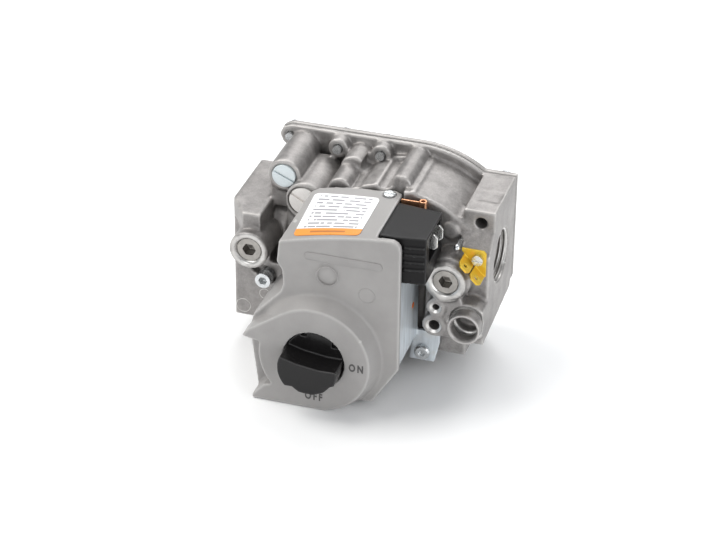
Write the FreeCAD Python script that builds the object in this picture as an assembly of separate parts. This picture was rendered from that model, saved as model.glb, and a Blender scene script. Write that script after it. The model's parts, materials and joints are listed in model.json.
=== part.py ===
import FreeCAD, Part
import math
import os

# Combination gas control valve, lying on its side.
# Frame: origin at the centre of the inlet port face, +X towards the outlet,
# +Y towards the diaphragm cover, +Z up. Millimetres.

# ---- driving dimensions -------------------------------------------------------------
FACE_TO_FACE = 106.8          # inlet port face to outlet port face
FLOOR_Z = -51.0               # the plane that the valve rests on
FIT = 0.05                    # radial clearance of a running or assembled fit
WALL = 2.0                    # plastic cover wall

PORT_R = 10.4                 # 1/2-14 NPT minor radius near the mouth
PORT_MOUTH_R = 11.5           # countersunk mouth of the outlet port
PORT_DEPTH = 14.0
GALLERY_R = 7.5               # inlet gallery
OUTLET_GALLERY_R = 6.5
PILOT_BORE_R = 5.1            # 7/16-24 pilot tube fitting
PILOT_MOUTH_R = 6.2
BRACKET_HOLE_R = 2.4          # #10-32 tapped hole
VENT_HOLE_R = 1.5
TEST_HOLE_R = 2.3

DRUM_X, DRUM_Z = 67.5, -12.0  # diaphragm axis, along Y
DRUM_R = 41.0
CAVITY_R = 27.0
FLANGE_R = 45.4
FLANGE_Y0, FLANGE_Y1 = 17.0, 19.4
MEMBRANE = 0.6
COVER_PLATE = 2.4
TOP_Z = 33.0

KNOB_X, KNOB_Z = 47.0, -28.6  # manual valve axis, along Y
COLLAR_FACE_Y = -53.5
COLLAR_BASE_Y = -46.0
COLLAR_FACE_R, COLLAR_BASE_R = 22.5, 25.5
RECESS_R = 12.4
KNOB_R = 11.9
STEM_R = 4.0
ROTOR_R = 11.6
MANUAL_CHAMBER_R = 12.0

COIL_X, COIL_Z = 61.5, -2.0   # solenoid axis, along Y
PLUNGER_R = 4.7
PLUNGER_TRAVEL = 2.0

INLET_TAP = (11.4, -0.8)      # (x, z) of the pressure tap bosses
OUTLET_TAP = (91.5, -0.1)
TAP_FACE_Y = -27.6
TAP_PLUG_R = 5.0              # 1/8-27 NPT
HEX_FLAT = 4.76               # 3/16 in socket

REGULATOR = (29.0, 16.6)
PILOT_ADJUST = (20.0, 24.8)
PILOT_OUTLET = (100.6, -17.0)
BRACKET_HOLE = (101.1, 19.7)
VENT_HOLE = (88.0, -12.1)
TEST_HOLE = (87.5, -20.4)
COVER_SCREW_POST = (64.2, -11.8)  # (x, y) of the screw that holds the plastic cover
FRAME_SCREW = (80.3, -40.6)
GROUND_SCREW = (102.4, 8.6)
LOCATING_PIN = (94.0, 12.4)
BODY_SCREW = (13.4, -20.6)
SHOULDER_Y = -13.0            # front of the casting beside the terminal block
DRUM_FRONT_Y = -9.0

SPADE_WIDTH, SPADE_THICK = 6.35, 0.8
BLADE_Y = (-32.3, -25.0)      # the two blades in the terminal block
BLADE_TOP = 23.7
COVER_SCREWS = [(13.8, 28.4), (35.3, 28.6), (53.1, 28.7), (101.2, 20.5),
                (101.0, -18.5), (88.0, -44.5), (47.0, -45.5), (14.0, -32.0)]
COVER_SCREW_R = 1.75

# Crown of the plastic cover as (x, z) of an arc, at its front face and at its back edge.
CROWN_BACK_Y = -3.0
CROWN_FRONT = [(30.5, 17.7), (54.0, 23.3), (75.6, 26.0)]
CROWN_BACK = [(34.3, 25.4), (56.0, 26.3), (75.6, 26.2)]
COVER_BACK_EDGE = [(33.4, -14.4), (35.6, -12.2), (42.4, -10.7), (51.4, -10.0), (59.0, -9.8), (65.4, -8.3),
                   (69.0, -10.2)]

V = FreeCAD.Vector


# ---- helpers --------------------------------------------------------------------------
def box(x0, x1, y0, y1, z0, z1):
    return Part.makeBox(x1 - x0, y1 - y0, z1 - z0, V(x0, y0, z0))


def cyl_x(y, z, r, x0, x1):
    return Part.makeCylinder(r, x1 - x0, V(x0, y, z), V(1, 0, 0))


def cyl_y(x, z, r, y0, y1):
    return Part.makeCylinder(r, y1 - y0, V(x, y0, z), V(0, 1, 0))


def cyl_z(x, y, r, z0, z1):
    return Part.makeCylinder(r, z1 - z0, V(x, y, z0), V(0, 0, 1))


def cone_y(x, z, r0, r1, y0, y1):
    return Part.makeCone(r0, r1, y1 - y0, V(x, y0, z), V(0, 1, 0))


def cone_x(y, z, r0, r1, x0, x1):
    return Part.makeCone(r0, r1, x1 - x0, V(x0, y, z), V(1, 0, 0))


def ring_y(x, z, r_out, r_in, y0, y1):
    return cyl_y(x, z, r_out, y0, y1).cut(cyl_y(x, z, r_in, y0 - 1, y1 + 1))


def torus_y(x, z, r_ring, r_wire, y):
    return Part.makeTorus(r_ring, r_wire, V(x, y, z), V(0, 1, 0))


def prism_y(points_xz, y0, y1):
    wire = Part.makePolygon([V(x, y0, z) for x, z in points_xz + points_xz[:1]])
    return Part.Face(wire).extrude(V(0, y1 - y0, 0))


def prism_x(points_yz, x0, x1):
    wire = Part.makePolygon([V(x0, y, z) for y, z in points_yz + points_yz[:1]])
    return Part.Face(wire).extrude(V(x1 - x0, 0, 0))


def prism_z(points_xy, z0, z1):
    wire = Part.makePolygon([V(x, y, z0) for x, y in points_xy + points_xy[:1]])
    return Part.Face(wire).extrude(V(0, 0, z1 - z0))


def hex_y(x, z, flat, y0, y1):
    r = flat / math.sqrt(3)
    corners = [(x + r * math.cos(k * math.pi / 3), z + r * math.sin(k * math.pi / 3)) for k in range(6)]
    return prism_y(corners, y0, y1)


def join(shapes):
    return shapes[0].fuse(shapes[1:]).removeSplitter()


def spring_y(x, z, r, wire_r, y0, y1, turns):
    """A helical compression spring along +Y."""
    height = y1 - y0 - 2 * wire_r
    helix = Part.makeHelix(height / turns, height, r)
    section = Part.Wire(Part.Circle(V(r, 0, 0), V(0, 1, 0), wire_r).toShape())
    coil = Part.Wire(helix.Edges).makePipeShell([section], True, True)
    coil.rotate(V(0, 0, 0), V(1, 0, 0), -90)
    coil.translate(V(x, y0 + wire_r, z))
    return coil


def save(name, shape):
    if isinstance(shape, list):
        shape = Part.makeCompound(shape)
    for solid in shape.Solids:
        if not solid.isValid() or solid.Volume <= 0:
            raise RuntimeError("bad solid in " + name)
    if not shape.Solids:
        raise RuntimeError("no solid in " + name)
    shape.exportStep("parts/" + name + ".step")
    print(name, len(shape.Solids), round(shape.Volume, 1))


# ---- shared outlines --------------------------------------------------------------------
def flange_outline(y0, y1):
    """The flange, membrane and back plate share this outline: straight top, round upper right."""
    low, right = FLOOR_Z, FACE_TO_FACE
    arc_start = math.radians(90)
    arc_end = math.asin((25.0 - DRUM_Z) / FLANGE_R)
    steps = 14
    points = [(8.2, -38.0), (8.2, 13.0), (16.6, 20.5), (10.6, 25.2), (9.2, 28.4), (10.6, 31.6),
              (13.8, TOP_Z)]
    for k in range(steps + 1):
        a = arc_start + (arc_end - arc_start) * k / steps
        points.append((DRUM_X + FLANGE_R * math.cos(a), DRUM_Z + FLANGE_R * math.sin(a)))
    points += [(right, 25.0), (right, -21.0), (102.0, -28.0), (96.0, -46.0), (91.0, low), (20.0, low)]
    return prism_y(points, y0, y1)


def crown_points(lift, y):
    """Three points of the crowned top of the plastic cover at a given y, lifted along Z."""
    t = (y - COLLAR_BASE_Y) / (CROWN_BACK_Y - COLLAR_BASE_Y)
    points = []
    for (x0, z0), (x1, z1) in zip(CROWN_FRONT, CROWN_BACK):
        points.append(V(x0 + t * (x1 - x0), y, z0 + t * (z1 - z0) + lift))
    return points


def cover_wire(inset, y):
    a, b, c = crown_points(-inset, y)
    a, c = a + V(inset, 0, 0), c - V(inset, 0, 0)
    low = [(77.6 - inset, 25.0 - inset), (78.7 - inset, 23.6 - inset), (79.0 - inset, 21.8 - inset),
           (79.0 - inset, -31.5), (68.7 - inset, -48.0 + inset), (21.8 + inset, -50.8 + inset),
           (18.4 + inset, -24.5), (20.0 + inset, -17.0), (31.2 + inset, -4.5), (32.2 + inset, -1.0),
           (31.8 + inset, 5.0), (29.6 + inset, 8.5)]
    corners = [c] + [V(x, y, z) for x, z in low] + [a]
    edges = [Part.Arc(a, b, c).toShape()]
    edges += [Part.LineSegment(p, q).toShape() for p, q in zip(corners, corners[1:])]
    return Part.Wire(edges)


def cover_profile(inset, y0, y1):
    """The plastic cover's outer form, drawn inwards by an inset."""
    return Part.makeLoft([cover_wire(inset, y0), cover_wire(inset, y1)], True, True)


# ---- aluminium casting -------------------------------------------------------------------
def casting_outside():
    left_block = prism_z([(0, -12), (7.5, -23), (15, -23), (15, 17), (7.6, 17), (7.6, 21), (0, 21)],
                         5.0, 13.5)
    left_wall = prism_z([(0, -12), (15, -12), (15, 17), (7.6, 17), (7.6, 21), (0, 21)], -24.0, 5.5)
    tap_neck = prism_x([(-22.5, 0), (-12, 0), (-12, 8), (-19.5, 8)], 5.4, 15.0)
    lower_plate = prism_y([(0, -41), (26, -41), (32, -36), (32, -14), (0, -14)], -12.0, 17.0)
    middle = box(12, 46, 0, 17, -40, 16)
    gallery_wall = cyl_x(0, 0, GALLERY_R + 2.3, 12, 46)
    passage_wall = box(29, 43, -8, 1, -36, 6)
    shapes = [left_block, left_wall, tap_neck, lower_plate, middle, gallery_wall, passage_wall]
    shapes += drum_and_flange() + top_columns() + right_side() + front_bosses()
    return join(shapes).common(box(0, FACE_TO_FACE, -40, 30, FLOOR_Z, 40))


def drum_and_flange():
    drum = cyl_y(DRUM_X, DRUM_Z, DRUM_R, DRUM_FRONT_Y, FLANGE_Y0)
    drum = drum.cut(box(0, 120, -20, 4, -60, -42))
    drum = drum.common(box(20, 97, -20, 20, FLOOR_Z, 60))
    front_drum = cyl_y(DRUM_X, DRUM_Z, DRUM_R, SHOULDER_Y, 0)
    shoulder = front_drum.common(box(70.0, 97, -20, 4, 6.0, 40))
    low_shoulder = front_drum.common(box(79.5, 97, -20, 4, -41, 10))
    flange = flange_outline(FLANGE_Y0, FLANGE_Y1)
    return [drum, shoulder, low_shoulder, flange]


def top_columns():
    """Screw bosses and ribs that run forward from the flange along the top."""
    px, pz = PILOT_ADJUST
    rx, rz = REGULATOR
    back = FLANGE_Y0 + 0.5
    front = DRUM_FRONT_Y
    column_1 = [cyl_y(px, pz, 6.8, -9.0, back), box(14.0, 26.5, -8, 17, 10, pz)]
    column_2 = [cyl_y(rx + 1, rz, 8.2, -12.6, 14.0), box(rx - 7.0, rx + 9.0, -11.5, 14, 0, rz)]
    ridge_3 = [cyl_y(44.3, 25.2, 5.3, 4.0, back), cyl_y(42.8, 22.8, 4.6, front, 6.0),
               box(38.2, 48.5, front, 17, 10, 23)]
    column_5 = [cyl_y(67.7, 28.6, 4.3, front, back), cyl_y(73.4, 27.6, 1.8, SHOULDER_Y, 16.0)]
    bosses = [cyl_y(x, z, 4.1, 12.0, back) for x, z in COVER_SCREWS[1:3]]
    return column_1 + column_2 + ridge_3 + column_5 + bosses


def top_valleys():
    """Grooves in the drum on both sides of the rib below the middle screw boss."""
    return [cyl_y(49.8, 27.2, 2.6, -20, 12.0), cyl_y(61.0, 29.2, 3.2, -20, 14.0)]


def right_side():
    face = FACE_TO_FACE
    block = prism_x([(-12, 25.0), (-12, 16.5), (-19, 9.0), (-19, -13), (-24, -17), (-24, -27.5),
                     (17.2, -24.0), (17.2, 25.0)], 94.0, face)
    px, pz = PILOT_OUTLET
    pilot_boss = [cyl_y(px, pz, 6.6, -32.0, -15), cyl_y(px + 0.3, pz + 0.2, 8.2, -26.5, -15)]
    tx, tz = OUTLET_TAP
    tap_boss = [cyl_y(tx, tz, 8.2, TAP_FACE_Y, -10), cyl_y(tx, tz, 9.4, -24.5, -10)]
    vx, vz = VENT_HOLE
    sx, sz = TEST_HOLE
    web = [box(86.5, 98.0, -26.5, -10, -25.0, -7.0), cyl_y(vx, vz, 3.8, -27.2, -10),
           cyl_y(sx, sz, 4.8, -27.2, -10)]
    step = box(80.0, 95.0, -12.0, -3, -9, 21.0)
    disc = cyl_y(89.4, 15.4, 3.4, -14.2, -10)
    return [block] + pilot_boss + tap_boss + web + [step, disc]


def front_bosses():
    ix, iz = INLET_TAP
    tap_boss = cyl_y(ix, iz, 7.9, TAP_FACE_Y, -10)
    manual_housing = cyl_y(KNOB_X, KNOB_Z, 15.0, -13.5, 6.0)
    stem_nose = cyl_y(KNOB_X, KNOB_Z, 7.0, -30.0, -12)
    coil_seat = cyl_y(COIL_X, COIL_Z, 8.5, -12.0, 0)
    frame_boss = cyl_y(FRAME_SCREW[0], FRAME_SCREW[1], 4.2, -13.9, 6)
    return [tap_boss, manual_housing, stem_nose, coil_seat, frame_boss]


def front_screw_post():
    """The post under the cover that takes the cover screw."""
    x, y = COVER_SCREW_POST
    return join([cyl_z(x, y, 2.8, 12.0, 23.4), box(x - 2.8, x + 2.8, y, DRUM_FRONT_Y + 1, 12.0, 20.0)])


def casting_inside():
    face = FACE_TO_FACE
    inlet = [cyl_x(0, 0, PORT_R, -1, PORT_DEPTH), cyl_x(0, 0, GALLERY_R, PORT_DEPTH - 1, 40.0),
             box(31, 41, -5, 7, -34, 4)]
    manual = [cyl_y(KNOB_X, KNOB_Z, MANUAL_CHAMBER_R, -10, 6), cyl_y(KNOB_X, KNOB_Z, STEM_R + FIT, -31, -9),
              cyl_y(52.0, -26.0, 5.0, 5, 10), ring_y(KNOB_X, KNOB_Z, 6.0, STEM_R, -26.0, -23.6)]
    seat = ring_y(DRUM_X, DRUM_Z, 10.5, 8.5, 8.9, 10.0)
    main = [cyl_y(DRUM_X, DRUM_Z, CAVITY_R, 9.0, 20.0).cut(seat), cyl_y(DRUM_X, DRUM_Z, 8.5, -3, 10.5),
            cyl_x(0, 0, OUTLET_GALLERY_R, 66.0, 94.0)]
    outlet = [cyl_x(0, 0, PORT_R, face - PORT_DEPTH, face + 1),
              cone_x(0, 0, PORT_R, PORT_MOUTH_R, face - 1.1, face)]
    coil = [cyl_y(COIL_X, COIL_Z, 5.4 + FIT, -13, -9), cyl_y(COIL_X, COIL_Z, 1.2, -10, 0)]
    return inlet + manual + main + outlet + coil + tapped_holes() + adjuster_bores()


def tapped_holes():
    cuts = []
    for x, z in (INLET_TAP, OUTLET_TAP):
        cuts += [cyl_y(x, z, TAP_PLUG_R + FIT, TAP_FACE_Y - 1, -18), cyl_y(x, z, 2.0, -19, -4)]
        cuts.append(cone_y(x, z, 5.9, TAP_PLUG_R, TAP_FACE_Y, TAP_FACE_Y + 0.9))
    px, pz = PILOT_OUTLET
    cuts += [cyl_y(px, pz, PILOT_BORE_R, -33, -20), cone_y(px, pz, PILOT_MOUTH_R, PILOT_BORE_R, -32, -30.9),
             cyl_y(px, pz, 1.5, -21, -12)]
    cuts += [cyl_y(BRACKET_HOLE[0], BRACKET_HOLE[1], BRACKET_HOLE_R, -13, -1)]
    cuts += [cyl_y(VENT_HOLE[0], VENT_HOLE[1], VENT_HOLE_R, -28, -17)]
    cuts += [cyl_y(TEST_HOLE[0], TEST_HOLE[1], TEST_HOLE_R, -28, -17)]
    cuts += [cyl_y(x, z, COVER_SCREW_R + FIT, 10, 21) for x, z in COVER_SCREWS]
    cuts += [cyl_y(GROUND_SCREW[0], GROUND_SCREW[1], 1.55, -20, -12)]
    cuts += [cyl_y(LOCATING_PIN[0], LOCATING_PIN[1], 1.0, -20, -8)]
    cuts += [cyl_y(FRAME_SCREW[0], FRAME_SCREW[1], 1.8, -15, -4)]
    bx, bz = BODY_SCREW
    cuts += [cyl_y(bx - 3.6, bz + 3.0, 2.9, -13, -8), cyl_y(bx, bz, 4.0, -13, -8), cyl_y(bx, bz, 2.05, -9, 2)]
    cuts += [box(97.0, 106.0, -3.8, 5.0, 24.6, 26)]
    return cuts


def adjuster_bores():
    px, pz = PILOT_ADJUST
    rx, rz = REGULATOR
    return [cyl_y(px, pz, 4.8 + FIT, -10, -5.5), cyl_y(px, pz, 3.0 + FIT, -6, 8.0),
            cyl_y(rx, rz, 6.3, -13, -11.2), cyl_y(rx, rz, 5.8 + FIT, -12, -9.3),
            cyl_y(rx, rz, 5.4 + FIT, -10, 9.0)]


def cover_keepout():
    """Room for the plastic cover in front of the casting, with a gap behind its back edge."""
    gap = 0.5
    edge = [(x, y + gap) for x, y in COVER_BACK_EDGE]
    left = prism_z([(32.8, -60), (32.8, -13.9), edge[1], (39.2, edge[2][1]), (39.2, -60)], 21.3, 40)
    main = prism_z([(38.8, -60), (38.8, edge[2][1])] + edge[2:] + [(69.6, -10.2), (69.6, -60)], 14.5, 40)
    return [left, main]


def valve_body():
    shape = casting_outside()
    for hollow in top_valleys() + casting_inside() + cover_keepout():
        shape = shape.cut(hollow)
    post = front_screw_post()
    shape = shape.fuse(post)
    shape = shape.cut(cyl_z(COVER_SCREW_POST[0], COVER_SCREW_POST[1], 1.3, 14, 24))
    return max(shape.Solids, key=lambda solid: solid.Volume)


# ---- diaphragm and main valve --------------------------------------------------------------
def screw_holes(r, y0, y1):
    return [cyl_y(x, z, r, y0, y1) for x, z in COVER_SCREWS]


def diaphragm():
    sheet = flange_outline(FLANGE_Y1, FLANGE_Y1 + MEMBRANE)
    return sheet.cut(screw_holes(COVER_SCREW_R + FIT, 18, 22) + [cyl_y(DRUM_X, DRUM_Z, 3.0, 18, 22)])


def diaphragm_cover():
    y0 = FLANGE_Y1 + MEMBRANE
    y1 = y0 + COVER_PLATE
    dome = [cyl_y(DRUM_X, DRUM_Z, 29.6, y0, 28.6), cone_y(DRUM_X, DRUM_Z, 29.6, 27.2, 28.6, 31.0)]
    shape = join([flange_outline(y0, y1)] + dome)
    cavity = [cyl_y(DRUM_X, DRUM_Z, CAVITY_R, y0 - 1, 28.6), cyl_y(DRUM_X, DRUM_Z, 8.6, 28, 29.2)]
    return shape.cut(cavity + screw_holes(COVER_SCREW_R + FIT, y0 - 1, y1 + 2))


def diaphragm_cover_screws():
    y1 = FLANGE_Y1 + MEMBRANE + COVER_PLATE
    screws = []
    for x, z in COVER_SCREWS:
        start = 15.4 if z == COVER_SCREWS[0][1] else 10.6
        screw = join([cyl_y(x, z, COVER_SCREW_R, start, y1 + 0.5), cyl_y(x, z, 3.4, y1, y1 + 2.3)])
        screws.append(screw.cut(hex_y(x, z, 2.6, y1 + 1.0, y1 + 3)))
    return screws


def main_valve():
    y0 = FLANGE_Y1 + MEMBRANE
    disc = ring_y(DRUM_X, DRUM_Z, 11.5, 3.0, 10.05, 11.6)
    holder = join([cyl_y(DRUM_X, DRUM_Z, 11.0, 11.6, 12.8), cyl_y(DRUM_X, DRUM_Z, 2.95, 10.3, y0 + 2.2),
                   cyl_y(DRUM_X, DRUM_Z, 14.0, FLANGE_Y1 - 1.0, FLANGE_Y1)])
    plate = join([ring_y(DRUM_X, DRUM_Z, 18.0, 2.95, y0, y0 + 1.0),
                  ring_y(DRUM_X, DRUM_Z, 18.0, 17.0, y0, y0 + 2.0)])
    spring = spring_y(DRUM_X, DRUM_Z, 7.5, 0.6, y0 + 1.05, 28.55, 4)
    return disc, holder, plate, spring


# ---- manual valve and knob -------------------------------------------------------------------
def manual_rotor():
    disc = cyl_y(KNOB_X, KNOB_Z, ROTOR_R, -7.0, -1.5)
    hub = cyl_y(KNOB_X, KNOB_Z, 5.5, -9.4, -6.5)
    port = cyl_y(KNOB_X + 5.0, KNOB_Z - 5.8, 3.6, -8, 0)
    return join([disc, hub]).cut([port, cyl_y(KNOB_X, KNOB_Z, STEM_R, -10, -4.0)])


def manual_seat():
    ring = cyl_y(KNOB_X, KNOB_Z, MANUAL_CHAMBER_R - FIT, -1.2, 1.0)
    return ring.cut(cyl_y(KNOB_X + 5.8, KNOB_Z + 5.0, 3.6, -2, 2))


def knob_stem():
    return cyl_y(KNOB_X, KNOB_Z, STEM_R, -49.9, -4.1)


def stem_seal():
    return torus_y(KNOB_X, KNOB_Z, 5.0, 0.9, -24.8)


def control_knob():
    x, z = KNOB_X, KNOB_Z
    skirt = cyl_y(x, z, KNOB_R, -52.0, -48.2)
    grip_outline = [(x - 14, z + 5.6), (x - 4, z + 2.9), (x + 5, z + 1.7), (x + 14, z + 1.9),
                    (x + 14, z - 3.2), (x + 9.6, z - 5.0), (x + 6.8, z - 8.2), (x + 2.3, z - 10.2),
                    (x - 3.2, z - 9.8), (x - 6.0, z - 7.8), (x - 14, z - 8.2)]
    grip = prism_y(grip_outline, -62.0, -51.5).common(cyl_y(x, z, KNOB_R, -63, -51))
    notches = [box(x - 5.6, x - 3.2, -53, -50.4, z + 9.6, z + 12),
               box(x + 7.0, x + 9.4, -53, -50.4, z + 6.4, z + 9.0)]
    hub = cyl_y(x, z, 6.5, -48.5, -47.3)
    return join([skirt, grip, hub]).cut(notches + [cyl_y(x, z, STEM_R, -50.0, -40)])


# ---- plastic cover ---------------------------------------------------------------------------
def collar():
    x, z = KNOB_X, KNOB_Z
    body = cone_y(x, z, COLLAR_FACE_R, COLLAR_BASE_R, COLLAR_FACE_Y, COLLAR_BASE_Y)
    left_flank = ring_y(x, z, COLLAR_BASE_R + 1, COLLAR_FACE_R, COLLAR_FACE_Y, COLLAR_BASE_Y)
    body = body.cut(left_flank.common(box(0, x - 12, -60, 0, z - 16, z + 6)))
    upper_wedge = prism_y([(34.0, -9.9), (20.5, -19.4), (17.6, -23.0), (24.2, -24.2), (30, -28)],
                          COLLAR_FACE_Y, COLLAR_BASE_Y)
    lower_wedge = prism_y([(26.5, -44.0), (21.8, -49.3), (21.8, FLOOR_Z), (52.0, FLOOR_Z), (40, -40)],
                          COLLAR_FACE_Y, COLLAR_BASE_Y)
    return join([body, upper_wedge, lower_wedge]).common(box(0, 120, -60, 0, FLOOR_Z, 60))


def front_cover():
    outer = cover_profile(0, COLLAR_BASE_Y, -3.0)
    inner = cover_profile(WALL, COLLAR_BASE_Y + WALL, -2.0)
    shell = outer.cut(inner)
    back_edge = prism_z([(0, -14.4)] + COVER_BACK_EDGE + [(80.0, -10.2), (80.0, 0), (0, 0)], 12.0, 40)
    low_back = box(0, 120, -16.0, 0, -60, 14.0)
    right_opening = box(69.0, 120, COLLAR_BASE_Y + 2.6, 0, 0.0, 40)
    plate_opening = box(75.5, 120, COLLAR_BASE_Y + 2.6, 0, -36.0, 1.0)
    foot_opening = box(66.0, 120, -20.0, 0, -60, -20)
    shell = shell.cut([back_edge, low_back, right_opening, plate_opening, foot_opening])
    x, z = KNOB_X, KNOB_Z
    shape = join([shell, collar()])
    bump = Part.makeSphere(12.0, V(50.4, COLLAR_BASE_Y + 10.9, 6.5)).common(box(40, 60, -60, -45, -5, 20))
    shape = join([shape, bump])
    px, py = COVER_SCREW_POST
    return shape.cut([cyl_y(x, z, RECESS_R, -60, -47.2), cyl_y(x, z, 6.8, -50, -40),
                      cyl_z(px, py, 1.5, 15, 30), cyl_z(px, py, 2.7, 24.9, 30),
                      box(0, 120, -60, 0, -60, FLOOR_Z)])


def crown_solid(lift):
    """Everything under the crown of the cover, with the crown lifted along Z."""
    wires = []
    for y in (COLLAR_BASE_Y, CROWN_BACK_Y):
        a, b, c = crown_points(lift, y)
        low_c, low_a = V(c.x, y, 0), V(a.x, y, 0)
        edges = [Part.Arc(a, b, c).toShape(), Part.LineSegment(c, low_c).toShape(),
                 Part.LineSegment(low_c, low_a).toShape(), Part.LineSegment(low_a, a).toShape()]
        wires.append(Part.Wire(edges))
    return Part.makeLoft(wires, True, True)


def cover_label():
    sheet = crown_solid(0.25).cut(crown_solid(0.0))
    return sheet.common(box(35.4, 61.8, -43.5, -16.0, 10, 40))


def cover_screw():
    x, y = COVER_SCREW_POST
    shaft = cyl_z(x, y, 1.25, 16.0, 25.0)
    head = cyl_z(x, y, 2.4, 24.95, 26.5)
    return join([shaft, head]).cut(box(x - 4, x + 4, y - 0.35, y + 0.35, 25.8, 28))


# ---- solenoid ----------------------------------------------------------------------------------
def solenoid_frame():
    right = box(76.0, 77.5, -43.3, -14.0, -33.5, 5.6)
    front = box(46.5, 77.5, -43.3, -41.8, -14.0, 5.6)
    left = box(46.5, 48.0, -43.3, -16.0, -14.0, 5.6)
    foot = prism_y([(74.6, -45.0), (85.0, -45.0), (87.0, -36.0), (87.0, -31.0), (76.0, -31.0)], -15.5, -14.0)
    frame = join([right, front, left, foot])
    x, z = FRAME_SCREW
    return frame.cut([cyl_y(x, z, 2.0, -16, -13), cyl_y(COIL_X, COIL_Z, 3.1, -44, -41)])


def frame_screw():
    x, z = FRAME_SCREW
    shape = join([cyl_y(x, z, 1.75, -15.6, -5), cone_y(x, z, 2.6, 3.2, -17.6, -16.8),
                  cyl_y(x, z, 3.2, -16.8, -15.5)])
    return shape.cut(hex_y(x, z, 2.4, -18, -16.5))


def coil():
    tube = cyl_y(COIL_X, COIL_Z, 5.4, -40.8, -9.0)
    tube = tube.cut(cyl_y(COIL_X, COIL_Z, PLUNGER_R + FIT, -40.0, -8.0))
    bobbin = join([ring_y(COIL_X, COIL_Z, 6.6, 5.45, -40.6, -16.5),
                   ring_y(COIL_X, COIL_Z, 13.0, 5.45, -40.6, -39.2),
                   ring_y(COIL_X, COIL_Z, 13.0, 5.45, -17.9, -16.5)])
    winding = ring_y(COIL_X, COIL_Z, 12.2, 6.65, -39.15, -17.95)
    core = cyl_y(COIL_X, COIL_Z, PLUNGER_R, -40.0, -32.4)
    core = join([core, cyl_y(COIL_X, COIL_Z, 3.0, -43.6, -39.5)])
    return tube.cut(cyl_y(COIL_X, COIL_Z, 3.0, -42, -39)), bobbin, winding, core


def plunger_set():
    travel = PLUNGER_TRAVEL + 0.2
    front = -32.4 + travel
    plunger = cyl_y(COIL_X, COIL_Z, PLUNGER_R, front, -11.4)
    plunger = plunger.cut([cyl_y(COIL_X, COIL_Z, 2.6, front - 1, front + 6),
                           cyl_y(COIL_X, COIL_Z, 2.5, -12.4, -11)])
    seal = cyl_y(COIL_X, COIL_Z, 2.5, -12.4, -10.6)
    spring = spring_y(COIL_X, COIL_Z, 2.0, 0.25, -32.35, front + 5.95, 7)
    return plunger, seal, spring


# ---- electrical parts ------------------------------------------------------------------------------
def terminal_block():
    block = prism_z([(69.6, -16.6), (87.5, -18.8), (87.5, -40.6), (76.0, -42.4), (69.6, -42.4)], 6.0, 26.0)
    recess = box(79.5, 90, -36.5, -21.0, 13.0, 24.4)
    under = box(66, 76.0, -43, -16, 0, 9.0)
    ridges = []
    for k in range(4):
        top = 22.4 - 3.2 * k
        ridges.append(prism_z([(79.2, -41.2), (86.8, -40.0), (86.8, -41.3), (79.2, -42.5)], top - 0.9, top))
    slots = [box(77.4, 80, y - 0.45, y + 0.45, 17.3, 23.75) for y in BLADE_Y]
    front_chamfer = prism_z([(60, -50), (60, -41.0), (76.0, -43), (76.0, -50)], 0, 27)
    tap_clearance = cyl_y(OUTLET_TAP[0], OUTLET_TAP[1], 9.8, TAP_FACE_Y - 0.6, -16)
    return join([block] + ridges).cut([recess, under, front_chamfer, tap_clearance] + slots)


def spade_terminals():
    low = BLADE_TOP - SPADE_WIDTH
    outline = [(77.5, low), (88.3, low), (89.6, low + 1.25), (89.6, BLADE_TOP - 1.3), (88.3, BLADE_TOP),
               (77.5, BLADE_TOP)]
    return [prism_y(outline, y - SPADE_THICK / 2, y + SPADE_THICK / 2) for y in BLADE_Y]


def block_clip():
    """A strip behind the terminal block that ends in a rolled hook above its back edge."""
    strap = box(70.0, 78.2, -15.6, -15.0, 18.0, 26.9)
    roll = cyl_z(78.6, -14.9, 1.5, 23.6, 27.3).cut(cyl_z(78.6, -14.9, 0.9, 23, 28))
    return join([strap, roll])


def ground_terminal():
    y0, y1 = -19.8, -19.0
    plate = prism_y([(95.8, 12.4), (104.6, 12.4), (105.6, 11.2), (105.6, 1.0), (95.8, 11.2)], y0, y1)
    direction = V(10.2, 0, -10.6).normalize()
    normal = V(direction.z, 0, -direction.x)
    tabs = []
    for centre in (V(98.9, 0, 8.0), V(103.3, 0, 3.4)):
        a = centre - direction * 2.9
        b = centre + direction * 2.9
        outline = [(a, y1), (b, y1), (b, -26.0), (b - direction * 1.2, -27.8),
                   (a + direction * 1.2, -27.8), (a, -26.0)]
        wire = Part.makePolygon([V(p.x, y, p.z) for p, y in outline + outline[:1]])
        tab = Part.Face(wire).extrude(normal * SPADE_THICK)
        hole = Part.makeCylinder(0.9, 4, V(centre.x, -25.0, centre.z) - normal * 2, normal)
        tabs.append(tab.cut(hole))
    return join([plate] + tabs).cut([cyl_y(GROUND_SCREW[0], GROUND_SCREW[1], 1.7, -21, -18)])


def ground_screw():
    x, z = GROUND_SCREW
    shape = join([cyl_y(x, z, 1.5, -20.0, -13), cyl_y(x, z, 2.2, -21.6, -19.8)])
    return shape.cut(box(x - 4, x + 4, -23, -21.1, z - 0.25, z + 0.25))


def locating_pin():
    x, z = LOCATING_PIN
    return join([cyl_y(x, z, 0.95, -20.0, -9), Part.makeSphere(1.4, V(x, -20.2, z))])


# ---- plugs, caps and adjusters ------------------------------------------------------------------------
def tap_plug(place, depth):
    x, z = place
    face = TAP_FACE_Y + depth
    body = cyl_y(x, z, TAP_PLUG_R, face, -18.6)
    return body.cut(hex_y(x, z, HEX_FLAT, face - 1, face + 4.5))


def slotted_cap(place, r, y0, y1, slot_width, tilt):
    x, z = place
    slot = box(x - 10, x + 10, y0 - 1, y0 + 0.9, z - slot_width / 2, z + slot_width / 2)
    slot.rotate(V(x, 0, z), V(0, 1, 0), tilt)
    return cyl_y(x, z, r, y0, y1).cut(slot)


def o_ring_seat(place, r, y):
    return torus_y(place[0], place[1], r, 0.7, y)


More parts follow.
